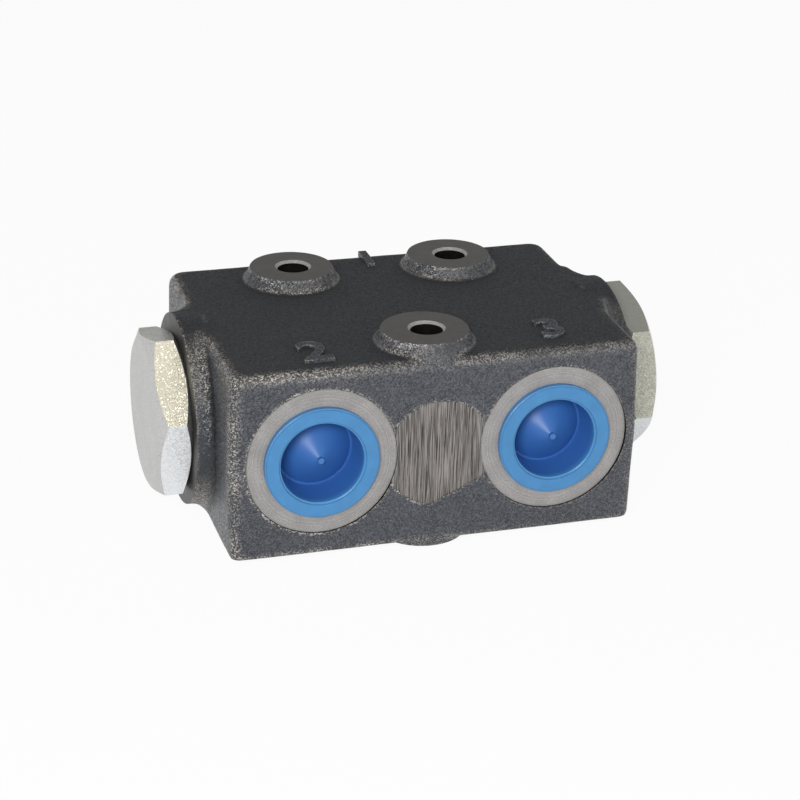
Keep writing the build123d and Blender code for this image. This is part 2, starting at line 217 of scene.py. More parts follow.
class StageSettings(bpy.types.PropertyGroup):
    """Camera, lamps and floor."""

    azimuth: angle("Azimuth", "Camera's way round the part", -17.07)
    elevation: angle("Elevation", "Camera above the horizon", 23.76)
    roll: angle("Roll", "Camera's roll", 1.35)
    distance: length("Distance", "Camera from its target", 620.0)
    lens: FloatProperty(name="Lens", description="Focal length in millimetres", default=109.83)
    target: FloatVectorProperty(
        name="Target", description="Point that the camera looks at", size=3, unit="LENGTH",
        default=(-10.78 * MM, -39.0 * MM, 43.4 * MM)
    )
    key_power: FloatProperty(name="Key lamp", description="Power of the key lamp in watts", default=7.8)
    fill_power: FloatProperty(name="Fill lamp", description="Power of the fill lamp in watts", default=3.0)
    sky: FloatProperty(name="Sky", description="Strength of the even light from all round", default=0.25)


def add_rings(bm, rings):
    """Skins a stack of closed rings with equally many points, and closes both ends."""
    loops = [[bm.verts.new(point) for point in ring] for ring in rings]
    count = len(loops[0])
    for low, high in zip(loops, loops[1:]):
        for k in range(count):
            j = (k + 1) % count
            bm.faces.new((low[k], low[j], high[j], high[k]))
    bm.faces.new(list(reversed(loops[0])))
    bm.faces.new(loops[-1])


def circle(radius, count=96):
    """Points of a circle in the XY plane."""
    turns = (2 * math.pi * k / count for k in range(count))
    return [Vector((radius * math.cos(a), radius * math.sin(a), 0)) for a in turns]


def new_piece(name, bm):
    """A new object from a finished bmesh."""
    bmesh.ops.recalc_face_normals(bm, faces=bm.faces)
    mesh = bpy.data.meshes.new(name)
    bm.to_mesh(mesh)
    bm.free()
    piece = bpy.data.objects.new(name, mesh)
    bpy.context.scene.collection.objects.link(piece)
    return piece


def bake_modifiers(piece):
    """Puts a piece's modifiers into its mesh."""
    depsgraph = bpy.context.evaluated_depsgraph_get()
    baked = bpy.data.meshes.new_from_object(piece.evaluated_get(depsgraph))
    old = piece.data
    piece.modifiers.clear()
    piece.data = baked
    bpy.data.meshes.remove(old)


def reskin(piece, voxel, passes):
    """Joins what overlaps into one closed skin and rounds its edges."""
    remesh = piece.modifiers.new("skin", "REMESH")
    remesh.mode = "VOXEL"
    remesh.voxel_size = voxel
    relax = piece.modifiers.new("soften", "SMOOTH")
    relax.iterations = passes
    bake_modifiers(piece)


def soften_edges(piece, degrees):
    """Smooth shading that stops at edges sharper than this."""
    piece.data.polygons.foreach_set("use_smooth", [True] * len(piece.data.polygons))
    piece.data.set_sharp_from_angle(angle=math.radians(degrees))


def screw_places(cuts):
    """Middles of the three mounting holes, front one first."""
    front = BODY_LOW.y + cuts.front_setback
    rear = front + cuts.row_spacing
    return [(0.0, front), (-cuts.screw_pitch / 2, rear), (cuts.screw_pitch / 2, rear)]


def block_outline(sizes, inset):
    """The block's outline seen from above, moved in by inset."""
    half_x = sizes.block_length / 2
    half_y = (BODY_HIGH.y - BODY_LOW.y) / 2
    points = []
    corners = (
        (1, -1, sizes.front_corner, -90), (1, 1, sizes.rear_corner, 0),
        (-1, 1, sizes.rear_corner, 90), (-1, -1, sizes.front_corner, 180),
    )
    for side_x, side_y, radius, start in corners:
        set_in = max(radius, inset + SMALL)
        centre_x = side_x * (half_x - set_in)
        centre_y = side_y * (half_y - set_in)
        for k in range(CORNER_STEPS + 1):
            turn = math.radians(start + 90 * k / CORNER_STEPS)
            reach = set_in - inset
            points.append((centre_x + reach * math.cos(turn), centre_y + reach * math.sin(turn)))
    return points


def add_block(bm, sizes):
    """The drafted block with rounded rims, its parting plane at height 0."""
    half = sizes.block_height / 2
    slope = math.tan(sizes.draft)
    levels = []
    for k in range(RIM_STEPS + 1):
        turn = math.radians(90 * (1 - k / RIM_STEPS))
        height = half - sizes.foot_rim * (1 - math.sin(turn))
        levels.append((-height, height * slope + sizes.foot_rim * (1 - math.cos(turn))))
    levels.append((0.0, 0.0))
    for k in range(RIM_STEPS + 1):
        turn = math.radians(90 * k / RIM_STEPS)
        height = half - sizes.top_rim * (1 - math.sin(turn))
        levels.append((height, height * slope + sizes.top_rim * (1 - math.cos(turn))))
    rings = []
    for height, inset in levels:
        rings.append([Vector((x, y, height)) for x, y in block_outline(sizes, inset)])
    add_rings(bm, rings)


def add_pad(bm, sizes, x, y, side):
    """A mounting pad on the top, or on the underside for side -1, cut flush with the block's sides."""
    half = sizes.block_height / 2
    span = BODY_HIGH.z - BODY_LOW.z
    rise = (span - sizes.block_height) / 2
    slope = math.tan(sizes.pad_flank)
    half_y = (BODY_HIGH.y - BODY_LOW.y) / 2
    rings = []
    for k in range(RIM_STEPS + 1):
        up = -sizes.pad_root + (sizes.pad_root + rise + sizes.allowance) * k / RIM_STEPS
        radius = sizes.pad_radius + (rise - up) * slope
        height = half + up
        limit = half_y - height * math.tan(sizes.draft)
        ring = []
        for point in circle(radius):
            edge = max(-limit, min(limit, y + point.y))
            ring.append(Vector((x + point.x, edge, side * height)))
        rings.append(ring)
    add_rings(bm, rings)


def add_boss(bm, sizes, side, bore):
    """A round end boss, with a flare that stays within the block's height."""
    half = sizes.block_height / 2
    root = sizes.block_length / 2 - half * math.tan(sizes.draft)
    rough = BODY_HIGH.x + sizes.allowance
    flare = [(root - sizes.top_rim, sizes.boss_radius + sizes.boss_flare)]
    for k in range(CORNER_STEPS + 1):
        turn = math.radians(90 * k / CORNER_STEPS)
        along = root + sizes.boss_flare * (1 - math.cos(turn))
        flare.append((along, sizes.boss_radius + sizes.boss_flare * (1 - math.sin(turn))))
    rings = []
    for along, radius in flare:
        ring = []
        for point in circle(radius):
            height = max(-half, min(half, bore.z + point.y))
            ring.append(Vector((side * along + bore.x, bore.y + point.x, height)))
        rings.append(ring)
    add_rings(bm, rings)
    barrel = []
    for along in (root - sizes.top_rim, rough):
        centre = Vector((side * along + bore.x, bore.y, bore.z))
        barrel.append([centre + Vector((0, point.x, point.y)) for point in circle(sizes.boss_radius)])
    add_rings(bm, barrel)


def rough_casting(sizes, cuts):
    """The casting's soft skin as one closed mesh, before machining."""
    bm = bmesh.new()
    origin = Vector((-sizes.shift, 0, BORE_AXIS.z - sizes.drop))
    add_block(bm, sizes)
    for x, y in screw_places(cuts):
        add_pad(bm, sizes, x, y, 1)
        add_pad(bm, sizes, x, y, -1)
    for side in (-1, 1):
        add_boss(bm, sizes, side, Vector((sizes.shift, BORE_AXIS.y, sizes.drop)))
    bmesh.ops.translate(bm, verts=bm.verts, vec=origin)
    casting = new_piece("cast_body", bm)
    reskin(casting, sizes.voxel, sizes.softening)
    spots = [(vertex.co.copy(), vertex.normal.copy()) for vertex in casting.data.vertices]
    waved = []
    for spot, outward in spots:
        slow = noise.noise(spot / WAVE_SIZE)
        quick = noise.noise(spot / RIPPLE_SIZE)
        waved.extend(spot + outward * (sizes.waviness * slow + RIPPLE_SHARE * sizes.waviness * quick))
    casting.data.vertices.foreach_set("co", waved)
    casting.data.update()
    return casting


def lathe(bm, profile, place, count=128):
    """A solid of revolution from (distance, radius, finish) steps, each finish for the face after it."""
    loops = []
    for distance, radius, _ in profile:
        points = circle(radius, count) if radius else [Vector((0, 0, 0))]
        loops.append([bm.verts.new(place @ (point + Vector((0, 0, distance)))) for point in points])
    for (_, _, finish), low, high in zip(profile, loops, loops[1:]):
        for k in range(count):
            j = (k + 1) % count
            corners = []
            for corner in (low[k % len(low)], low[j % len(low)], high[j % len(high)], high[k % len(high)]):
                if corner not in corners:
                    corners.append(corner)
            bm.faces.new(corners).material_index = finish


def add_slab(bm, low, high, finish):
    """A box between two corners."""
    made = bmesh.ops.create_cube(bm, size=1.0)
    for vertex in made["verts"]:
        vertex.co = vertex.co * (high - low) + (low + high) / 2
    for face in {face for vertex in made["verts"] for face in vertex.link_faces}:
        face.material_index = finish


def facing_cutter():
    """Slabs that face the pads and the end bosses."""
    bm = bmesh.new()
    reach = (BODY_HIGH - BODY_LOW).length
    for side in (-1, 1):
        end = BODY_HIGH.x if side > 0 else BODY_LOW.x
        far = side * reach
        low = Vector((min(end, far), -reach, -reach))
        high = Vector((max(end, far), reach, 2 * reach))
        add_slab(bm, low, high, TURNED)
    ends = new_piece("end_cutter", bm)
    bm = bmesh.new()
    add_slab(bm, Vector((-reach, -reach, BODY_HIGH.z)), Vector((reach, reach, reach)), MILLED)
    add_slab(bm, Vector((-reach, -reach, -reach)), Vector((reach, reach, BODY_LOW.z)), MILLED)
    return [ends, new_piece("pad_cutter", bm)]


def bore_cutter(cuts):
    """The spool bore with its threaded ends and seal recesses."""
    bm = bmesh.new()
    end = BODY_HIGH.x
    over = 1 * MM
    half = [
        (end + over, cuts.recess_radius), (end - cuts.recess_depth, cuts.recess_radius),
        (end - cuts.recess_depth, cuts.thread_radius), (end - cuts.thread_depth, cuts.thread_radius),
        (end - cuts.thread_depth, cuts.bore_radius),
    ]
    profile = [(-half[0][0], 0, BORED)]
    profile += [(-distance, radius, BORED) for distance, radius in half]
    profile += [(distance, radius, BORED) for distance, radius in reversed(half)]
    profile.append((half[0][0], 0, BORED))
    place = Matrix.Translation((0, BORE_AXIS.y, BORE_AXIS.z)) @ Matrix.Rotation(math.radians(90), 4, "Y")
    lathe(bm, profile, place)
    return new_piece("bore_cutter", bm)


def port_cutter(cuts):
    """The three ports: spotface, chamfer, thread and drilling."""
    bm = bmesh.new()
    outside = -5 * MM
    mouth = cuts.port_radius + cuts.port_chamfer
    for x, face, spot in (
        (-PORT_PITCH / 2, BODY_LOW.y, SPOT_FRONT), (PORT_PITCH / 2, BODY_LOW.y, SPOT_FRONT),
        (0.0, BODY_HIGH.y, SPOT_REAR),
    ):
        inward = 1 if face < 0 else -1
        plane = face + inward * cuts.spotface_depth
        deep = abs(BORE_AXIS.y - plane)
        profile = [
            (outside, 0, BORED), (outside, cuts.spotface_radius, BORED), (0, cuts.spotface_radius, spot),
            (0, mouth, BORED), (cuts.port_chamfer, cuts.port_radius, BORED),
            (cuts.port_depth, cuts.port_radius, BORED), (cuts.port_depth, cuts.drill_radius, BORED),
            (deep, cuts.drill_radius, BORED), (deep, 0, BORED),
        ]
        turn = Matrix.Rotation(math.radians(-90 * inward), 4, "X")
        lathe(bm, profile, Matrix.Translation((x, plane, PORT_HEIGHT)) @ turn)
    return new_piece("port_cutter", bm)


def screw_hole_cutter(cuts):
    """The three through holes, with mouths chamfered in the finish of the rear spotface."""
    bm = bmesh.new()
    span = BODY_HIGH.z - BODY_LOW.z
    over = 1 * MM
    hole = cuts.screw_hole_radius
    chamfer = cuts.screw_hole_chamfer
    wide = hole + chamfer + over
    profile = [
        (-over, 0, BORED), (-over, wide, SPOT_REAR), (chamfer, hole, BORED),
        (span - chamfer, hole, SPOT_REAR), (span + over, wide, BORED), (span + over, 0, BORED),
    ]
    for x, y in screw_places(cuts):
        lathe(bm, profile, Matrix.Translation((x, y, BODY_LOW.z)), 64)
    return new_piece("screw_hole_cutter", bm)


def patch_cutter(cuts):
    """The ground patch between the front ports: a disc with one straight side."""
    bm = bmesh.new()
    way = Vector((math.cos(cuts.patch_turn), 0, -math.sin(cuts.patch_turn)))
    across = Vector((way.z, 0, -way.x))
    rings = []
    outside = BODY_LOW.y - 3 * MM
    for y in (outside, BODY_LOW.y + cuts.patch_depth):
        ring = []
        for point in circle(cuts.patch_radius, 120):
            spot = Vector((point.x, 0, point.y))
            far = min(spot.dot(way), cuts.patch_reach)
            place = far * way + spot.dot(across) * across
            ring.append(place + Vector((0, y, PORT_HEIGHT - cuts.patch_drop)))
        rings.append(ring)
    add_rings(bm, rings)
    for face in bm.faces:
        face.material_index = GROUND
    return new_piece("patch_cutter", bm)


def cut_away(piece, cutters):
    """Cuts each cutter out of the piece and deletes it."""
    for cutter in cutters:
        cut = piece.modifiers.new(cutter.name, "BOOLEAN")
        cut.object = cutter
        cut.operation = "DIFFERENCE"
        cut.solver = "MANIFOLD"
    bake_modifiers(piece)
    for cutter in cutters:
        bpy.data.meshes.remove(cutter.data)


def socket(tree, name, kind, way, default=None):
    """A named input or output of a node group."""
    made = tree.interface.new_socket(name=name, in_out=way, socket_type=kind)
    if default is not None:
        made.default_value = default


def feed(tree, node, inputs):
    """Sets a node's inputs, by name or number, to values or links."""
    for name, value in inputs.items():
        if isinstance(value, bpy.types.NodeSocket):
            tree.links.new(value, node.inputs[name])
        else:
            node.inputs[name].default_value = value


def add(tree, kind, inputs=None, **settings):
    """A shader node with its settings, and its inputs as values or links."""
    made = tree.nodes.new(kind)
    for name, value in settings.items():
        setattr(made, name, value)
    feed(tree, made, inputs or {})
    return made


def calc(tree, operation, *values, clamp=False):
    """A Math node's result."""
    made = add(tree, "ShaderNodeMath", dict(enumerate(values)), operation=operation, use_clamp=clamp)
    return made.outputs[0]


def product(tree, first, second):
    """Two values multiplied."""
    return calc(tree, "MULTIPLY", first, second)


def vector_calc(tree, operation, *values, output=0):
    """A Vector Math node's result."""
    made = add(tree, "ShaderNodeVectorMath", dict(enumerate(values)), operation=operation)
    return made.outputs[output]


def scaled(tree, vector, factor):
    """A vector times a number."""
    return add(tree, "ShaderNodeVectorMath", {0: vector, "Scale": factor}, operation="SCALE").outputs[0]


def split(tree, vector):
    """The three parts of a vector."""
    return add(tree, "ShaderNodeSeparateXYZ", {0: vector}).outputs


def ramp(tree, value, low, high, to_low=0.0, to_high=1.0):
    """A value stretched from one range to another, and kept within it."""
    made = add(
        tree, "ShaderNodeMapRange",
        {"Value": value, "From Min": low, "From Max": high, "To Min": to_low, "To Max": to_high}
    )
    return made.outputs[0]


def blend_colours(tree, factor, first, second):
    """A Mix node's colour, from links or plain colours."""
    inputs = {0: factor}
    for index, value in ((6, first), (7, second)):
        inputs[index] = value if isinstance(value, bpy.types.NodeSocket) else (*value, 1.0)
    return add(tree, "ShaderNodeMix", inputs, data_type="RGBA").outputs[2]


def toned(tint, factor):
    """A colour made darker or lighter."""
    return [min(1.0, channel * factor) for channel in tint]


def new_group(name):
    """An empty shader node group with its input and output nodes."""
    tree = bpy.data.node_groups.new(name, "ShaderNodeTree")
    entry = tree.nodes.new("NodeGroupInput")
    leave = tree.nodes.new("NodeGroupOutput")
    return tree, entry, leave


def crystal_group():
    """Tilts the surface cell by cell, as coarse grains and plating crystals do."""
    tree, entry, leave = new_group("Crystal grains")
    socket(tree, "Vector", "NodeSocketVector", "INPUT")
    socket(tree, "Size", "NodeSocketFloat", "INPUT", 0.4 * MM)
    socket(tree, "Tilt", "NodeSocketFloat", "INPUT", 0.5)
    socket(tree, "Normal", "NodeSocketVector", "INPUT")
    socket(tree, "Normal", "NodeSocketVector", "OUTPUT")
    socket(tree, "Grain", "NodeSocketFloat", "OUTPUT")
    cells = add(
        tree, "ShaderNodeTexVoronoi",
        {"Vector": vector_calc(tree, "DIVIDE", entry.outputs["Vector"], entry.outputs["Size"]), "Scale": 1.0}
    )
    offset = vector_calc(tree, "SUBTRACT", cells.outputs["Color"], (0.5, 0.5, 0.5))
    leaned = vector_calc(tree, "ADD", entry.outputs["Normal"], scaled(tree, offset, entry.outputs["Tilt"]))
    grain = split(tree, cells.outputs["Color"])[0]
    feed(tree, leave, {"Normal": vector_calc(tree, "NORMALIZE", leaned), "Grain": grain})
    return tree


def mottle_group():
    """Slow and quick unevenness mixed, from 0 to 1."""
    tree, entry, leave = new_group("Mottle")
    socket(tree, "Vector", "NodeSocketVector", "INPUT")
    socket(tree, "Size", "NodeSocketFloat", "INPUT", 8 * MM)
    socket(tree, "Low", "NodeSocketFloat", "INPUT", 0.35)
    socket(tree, "High", "NodeSocketFloat", "INPUT", 0.65)
    socket(tree, "Value", "NodeSocketFloat", "OUTPUT")
    clouds = add(
        tree, "ShaderNodeTexNoise",
        {"Vector": vector_calc(tree, "DIVIDE", entry.outputs["Vector"], entry.outputs["Size"]),
         "Scale": 1.0, "Detail": 4.0, "Roughness": 0.6}
    )
    value = ramp(tree, clouds.outputs["Fac"], entry.outputs["Low"], entry.outputs["High"])
    feed(tree, leave, {"Value": value})
    return tree


def ring_group():
    """Turning marks: rings of uneven height round the point or axis from which the vector is measured."""
    tree, entry, leave = new_group("Turning rings")
    socket(tree, "Vector", "NodeSocketVector", "INPUT")
    socket(tree, "Pitch", "NodeSocketFloat", "INPUT", 0.2 * MM)
    socket(tree, "Value", "NodeSocketFloat", "OUTPUT")
    away = vector_calc(tree, "LENGTH", entry.outputs["Vector"], output=1)
    turns = calc(tree, "DIVIDE", away, entry.outputs["Pitch"])
    rings = add(
        tree, "ShaderNodeTexNoise", {"W": turns, "Scale": 1.0, "Detail": 3.0, "Roughness": 0.65},
        noise_dimensions="1D"
    )
    feed(tree, leave, {"Value": rings.outputs["Fac"]})
    return tree


def streak_group():
    """Grinding and milling streaks: noise drawn out along one way."""
    tree, entry, leave = new_group("Streaks")
    socket(tree, "Vector", "NodeSocketVector", "INPUT")
    socket(tree, "Cell", "NodeSocketVector", "INPUT", (0.25 * MM, 1 * MM, 12 * MM))
    socket(tree, "Value", "NodeSocketFloat", "OUTPUT")
    lines = add(
        tree, "ShaderNodeTexNoise",
        {"Vector": vector_calc(tree, "DIVIDE", entry.outputs["Vector"], entry.outputs["Cell"]),
         "Scale": 1.0, "Detail": 3.0, "Roughness": 0.6}
    )
    feed(tree, leave, {"Value": lines.outputs["Fac"]})
    return tree


def use(tree, name, maker, inputs):
    """Places a shared node group, which is built the first time that it is asked for."""
    return add(tree, "ShaderNodeGroup", inputs, node_tree=bpy.data.node_groups.get(name) or maker())


def crystals(tree, place, normal, size, tilt):
    """Crystal grains of this size: the tilted normal and the grain's own value."""
    inputs = {"Vector": place, "Size": size, "Tilt": tilt, "Normal": normal}
    grains = use(tree, "Crystal grains", crystal_group, inputs)
    return grains.outputs["Normal"], grains.outputs["Grain"]


def mottle(tree, place, size, low=0.3, high=0.7):
    """Mottle of this size; what lies between low and high is spread from 0 to 1."""
    inputs = {"Vector": place, "Size": size, "Low": low, "High": high}
    return use(tree, "Mottle", mottle_group, inputs).outputs[0]


def streaks(tree, place, cell):
    """Streaks with a cell of this width, depth and height."""
    return use(tree, "Streaks", streak_group, {"Vector": place, "Cell": cell}).outputs[0]


def centred(tree, place, centre):
    """The place less a centre: None flattens an axis, and a value in a tuple counts on both sides."""
    values = []
    for part, shift in zip(split(tree, place), centre):
        if shift is None:
            values.append(0.0)
            continue
        if isinstance(shift, tuple):
            part = calc(tree, "ABSOLUTE", part)
            shift = shift[0]
        values.append(calc(tree, "SUBTRACT", part, shift))
    return add(tree, "ShaderNodeCombineXYZ", dict(enumerate(values))).outputs[0]


def turning_rings(tree, place, centre, pitch):
    """Turning marks of this pitch round a centre."""
    inputs = {"Vector": centred(tree, place, centre), "Pitch": pitch}
    return use(tree, "Turning rings", ring_group, inputs).outputs[0]


def new_finish(name, **settings):
    """A material with its tree and shader, and the coordinates of the surface."""
    material = bpy.data.materials.new(name)
    material.use_nodes = True
    tree = material.node_tree
    shader = tree.nodes["Principled BSDF"]
    for key, value in settings.items():
        shader.inputs[key.replace("_", " ")].default_value = value
    return material, tree, shader, tree.nodes.new("ShaderNodeTexCoord").outputs["Object"]


def bump(tree, height, depth):
    """A Bump node's normal; depth is the height of a full step, in metres."""
    return add(tree, "ShaderNodeBump", {"Height": height, "Distance": depth, "Strength": 1.0}).outputs[0]


def cast_skin(name, colours, painted_top_shade):
    """Dark phosphated cast iron: grainy sides, painted highlights of bright and brown grains on slopes and
    edges, and painted shade on the top, the underside and the hollows.
    """
    material, tree, shader, place = new_finish(name, Metallic=0.0, Specular_IOR_Level=0.45)
    geometry = tree.nodes.new("ShaderNodeNewGeometry").outputs
    rough = bump(tree, mottle(tree, place, 1.3 * MM, 0.2, 0.8), 0.12 * MM)
    tilted, grain = crystals(tree, place, rough, 0.3 * MM, 0.7)
    clouds = mottle(tree, place, 9 * MM)
    turn = split(tree, geometry["Normal"])
    facing = calc(tree, "ABSOLUTE", turn[2])
    convex = geometry["Pointiness"]

    # Dark and light grains, with painted shade that darkens skin facing up or down and paints the hollows
    # nearly black
    # Painted shade: where the skin faces up or down, the light grains fade to the top shade share and the
    # dark base darkens
    shade = ramp(tree, facing, 0.3, 0.8, 1.0, painted_top_shade)
    worn = calc(tree, "MULTIPLY_ADD", clouds, 0.14, product(tree, calc(tree, "POWER", grain, 2.0), 0.86))
    base = blend_colours(tree, shade, toned(colours.cast_dark, 0.35), colours.cast_dark)
    skin = blend_colours(tree, product(tree, worn, shade), base, colours.cast_light)
    # Painted shade: concave creases, such as where the bosses meet the block, are darkened nearly to black
    painted_hollow_shade = ramp(tree, convex, 0.483, 0.4985, 0.9, 0.0)
    skin = blend_colours(tree, painted_hollow_shade, skin, toned(colours.cast_dark, 0.3))

    # Upright scratches on the sides
    lines = ramp(tree, streaks(tree, place, (0.2 * MM, 0.25 * MM, 9 * MM)), 0.66, 0.7)
    sides = product(tree, ramp(tree, clouds, 0.75, 1.0), ramp(tree, facing, 0.1, 0.4, 0.5, 0.0))
    skin = blend_colours(tree, product(tree, lines, sides), skin, colours.cast_bright_scratch_and_highlight)

    # Painted highlights of brown and bright grains on slopes and rounded edges, stronger to the front and to
    # the left
    slope = product(tree, ramp(tree, facing, 0.3, 0.62), ramp(tree, facing, 0.8, 0.96, 1.0, 0.0))
    slope = product(tree, slope, ramp(tree, turn[1], -0.6, 0.1, 0.75, 0.2))
    rounded = product(tree, ramp(tree, convex, 0.503, 0.522), ramp(tree, convex, 0.53, 0.55, 1.0, 0.0))
    edge = calc(tree, "ADD", slope, product(tree, rounded, 0.95), clamp=True)
    along = ramp(tree, split(tree, place)[0], -20 * MM, 25 * MM, 1.0, 0.4)
    painted_highlight_mask = product(tree, edge, product(tree, along, ramp(tree, clouds, 0.1, 0.8, 0.25, 1.0)))
    skin_with_brown_highlight = blend_colours(tree, product(tree, painted_highlight_mask, 0.45), skin, colours.cast_brown_highlight)
    # Painted highlight: bright grains where the highlight mask is strong
    bright = product(tree, painted_highlight_mask, ramp(tree, grain, 0.55, 0.8))

    gloss = ramp(tree, grain, 0.0, 1.0, 0.42, 0.26)
    flat = ramp(tree, facing, 0.8, 0.97, 0.0, 0.6)
    feed(tree, shader, {
        "Base Color": blend_colours(tree, bright, skin_with_brown_highlight, colours.cast_bright_scratch_and_highlight),
        "Roughness": calc(tree, "ADD", gloss, flat, clamp=True),
        "Normal": tilted,
    })
    return material


def turned_face(name, tint, centre, pitch):
    """A face turned on a lathe or with a spotfacer."""
    material, tree, shader, place = new_finish(name, Metallic=0.1, Specular_IOR_Level=0.4)
    marks = turning_rings(tree, place, centre, pitch)
    clouds = mottle(tree, place, 5 * MM)
    flecks = ramp(tree, mottle(tree, place, 0.5 * MM, 0.3, 0.6), 0.0, 1.0, 0.3, 1.0)
    shade = calc(tree, "MULTIPLY_ADD", marks, 0.5, product(tree, clouds, 0.12))
    band = product(tree, ramp(tree, shade, 0.15, 0.45), flecks)
    feed(tree, shader, {
        "Base Color": blend_colours(tree, band, toned(tint, 0.55), toned(tint, 1.2)),
        "Roughness": ramp(tree, clouds, 0.0, 1.0, 0.38, 0.52),
        "Normal": bump(tree, marks, 0.03 * MM),
    })
    return material


def milled_face(colours):
    """The pads' milled faces: brownish iron with faint cutter marks, long arcs about a far centre."""
    material, tree, shader, place = new_finish(
        "milled_pads", Metallic=0.0, Specular_IOR_Level=0.15, Roughness=0.5
    )
    marks = turning_rings(tree, place, (-0.19, 0.11, None), 0.35 * MM)
    shade = calc(tree, "MULTIPLY_ADD", marks, 0.6, product(tree, mottle(tree, place, 3.5 * MM), 0.25))
    iron = colours.milled_iron
    feed(tree, shader, {
        "Base Color": blend_colours(tree, ramp(tree, shade, 0.2, 0.65), toned(iron, 0.75), toned(iron, 1.3)),
        "Normal": bump(tree, marks, 0.015 * MM),
    })
    return material


def ground_face(colours):
    """The patch between the ports, ground by hand in upright streaks."""
    material, tree, shader, place = new_finish(
        "ground_patch", Metallic=0.0, Specular_IOR_Level=0.4, Roughness=0.42
    )
    fine = streaks(tree, place, (0.14 * MM, 2 * MM, 9 * MM))
    broad = streaks(tree, place, (0.45 * MM, 4 * MM, 18 * MM))
    shade = calc(tree, "MULTIPLY_ADD", fine, 0.8, product(tree, broad, 0.2))
    crests = ramp(tree, shade, 0.44, 0.57)
    feed(tree, shader, {
        "Base Color": blend_colours(tree, crests, colours.ground_dark, colours.ground_light),
        "Normal": bump(tree, shade, 0.06 * MM),
    })
    return material


def bored_iron(colours):
    """Inside the bores and holes, painted very dark as the shade in them."""
    material, tree, shader, place = new_finish("bored_iron", Specular_IOR_Level=0.05, Roughness=0.85)
    # Painted shade: the inside of every bore and hole gets a near-black colour
    dark = toned(colours.milled_iron, 0.05)
    light = toned(colours.milled_iron, 0.15)
    feed(tree, shader, {"Base Color": blend_colours(tree, mottle(tree, place, 2 * MM), dark, light)})
    return material


def zinc_plate(colours):
    """Zinc plating: fine bright crystals over a satin ground, with painted reflections and painted shade
    tinting each flat by the way it faces.
    """
    material, tree, shader, place = new_finish("zinc_plate", Metallic=0.45)
    normal = tree.nodes.new("ShaderNodeNewGeometry").outputs["Normal"]
    tilted, grain = crystals(tree, place, normal, 0.24 * MM, 0.5)
    endways, _, up = split(tree, normal)
    # Painted reflections and painted shade: pale on flats facing down, olive, warm and then dull as flats
    # turn up, plain zinc on flats facing the ends
    zinc_painted_reflections = blend_colours(tree, ramp(tree, up, -0.28, -0.1, 1.0, 0.0), colours.zinc, colours.zinc_pale_reflection)
    for start, end, tinge in (
        (0.05, 0.25, colours.zinc_olive_reflection), (0.35, 0.6, colours.zinc_warm_reflection), (0.8, 0.95, colours.zinc_dull_shade)
    ):
        zinc_painted_reflections = blend_colours(tree, ramp(tree, up, start, end), zinc_painted_reflections, tinge)
    ends = ramp(tree, calc(tree, "ABSOLUTE", endways), 0.3, 0.6)
    zinc_painted_reflections = blend_colours(tree, ends, zinc_painted_reflections, colours.zinc)
    speck = ramp(tree, grain, 0.0, 0.35, 0.62, 1.0)
    feed(tree, shader, {
        "Base Color": blend_colours(tree, speck, toned(colours.zinc, 0.5), zinc_painted_reflections),
        "Roughness": ramp(tree, mottle(tree, place, 6 * MM), 0.0, 1.0, 0.28, 0.4),
        "Normal": tilted,
    })
    return material


def port_plug_plastic(colours):
    """Soft blue plastic with a faint moulded grain, and below the flange a deeper blue as painted shade
    inside the cup, duller too.
    """
    material, tree, shader, place = new_finish("port_plug_plastic", Specular_IOR_Level=0.4)
    plain = colours.plastic
    flange = blend_colours(tree, mottle(tree, place, 4 * MM), toned(plain, 0.92), toned(plain, 1.06))
    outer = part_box("rear_port_plug")[1].y
    away = calc(tree, "ABSOLUTE", split(tree, place)[1])
    # Painted shade: the blue darkens towards the deep colour below the flange, deeper into the cup
    raised = ramp(tree, away, outer - 2.4 * MM, outer - 0.6 * MM)
    feed(tree, shader, {
        "Base Color": blend_colours(tree, raised, colours.plastic_deep_shade, flange),
        "Roughness": ramp(tree, raised, 0.0, 1.0, 0.42, 0.33),
        "Normal": bump(tree, mottle(tree, place, 0.5 * MM, 0.2, 0.8), 0.008 * MM),
    })
    return material


def plain_metal(name, tint, roughness):
    """Steel of the inner pieces, with fine marks of grinding."""
    material, tree, shader, place = new_finish(name, Metallic=1.0, Roughness=roughness)
    marks = streaks(tree, place, (0.15 * MM, 3 * MM, 3 * MM))
    feed(tree, shader, {
        "Base Color": blend_colours(tree, marks, toned(tint, 0.8), tint),
        "Normal": bump(tree, marks, 0.004 * MM),
    })
    return material


def seal_rubber(colours):
    """Black rubber with a dull bloom."""
    material, tree, shader, place = new_finish("seal_rubber", Roughness=0.55)
    bloom = mottle(tree, place, 1.5 * MM, 0.3, 0.8)
    light = toned(colours.rubber, 2.2)
    feed(tree, shader, {"Base Color": blend_colours(tree, bloom, colours.rubber, light)})
    return material


def paint_node(name, material):
    """Gives a CAD node its finish."""
    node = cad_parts[name]
    node.data.materials.clear()
    node.data.materials.append(material)


